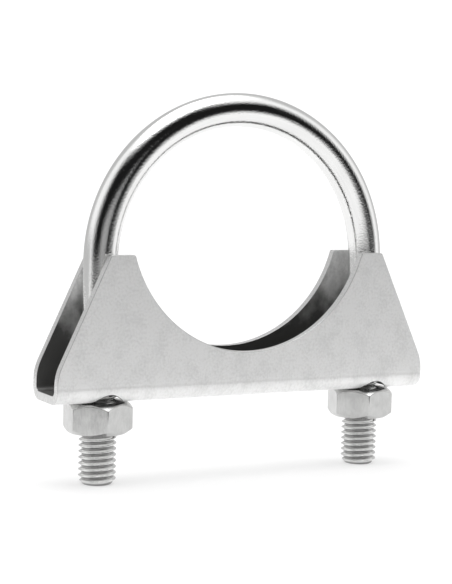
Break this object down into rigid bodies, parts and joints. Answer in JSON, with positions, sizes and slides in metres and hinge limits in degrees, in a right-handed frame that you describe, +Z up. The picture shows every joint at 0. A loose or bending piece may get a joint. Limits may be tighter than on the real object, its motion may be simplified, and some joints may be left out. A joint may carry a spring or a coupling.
{
  "type": "u-bolt saddle clamp",
  "caption": "U-bolt clamp: a bent threaded rod closed by a folded sheet-steel saddle with a round pipe seat and plain hex nuts on both legs.",
  "frame": {"origin": "on the floor midway between the two bolt tips", "axes": "+Z up along the legs towards the arch, X from the left leg to the right leg, Y along the pipe that is held"},
  "size_m": [0.0888, 0.0148, 0.0826],
  "materials": {
    "plated_rod": "bright zinc plate, smooth and mirror-like on the bend, duller in the thread",
    "galvanised_sheet": "satin zinc-coated sheet with a faint mottled grain and bright cut edges",
    "plated_nut": "satin zinc plate, fine die marks"
  },
  "bodies": {
    "bent_bolt": {"u_bolt": "plated_rod"},
    "saddle_body": {"saddle": "galvanised_sheet"},
    "left_nut_body": {"nut_left": "plated_nut"},
    "right_nut_body": {"nut_right": "plated_nut"}
  },
  "joints": [
    {"name": "saddle_slide", "type": "slide", "parent": "bent_bolt", "child": "saddle_body", "axis": [0, 0, 1], "range_m": [-0.01, 0.012]},
    {"name": "left_nut_turn", "type": "hinge", "parent": "saddle_body", "child": "left_nut_body", "pos_m": [-0.0325, 0, 0.014], "axis": [0, 0, 1], "range_deg": [-2880, 3456]},
    {"name": "right_nut_turn", "type": "hinge", "parent": "saddle_body", "child": "right_nut_body", "pos_m": [0.0325, 0, 0.014], "axis": [0, 0, 1], "range_deg": [-2880, 3456]}
  ],
  "couplings": [
    {"joint": "left_nut_turn", "follows": "saddle_slide", "rad_per_m": 5026.5},
    {"joint": "right_nut_turn", "follows": "saddle_slide", "rad_per_m": 5026.5}
  ]
}
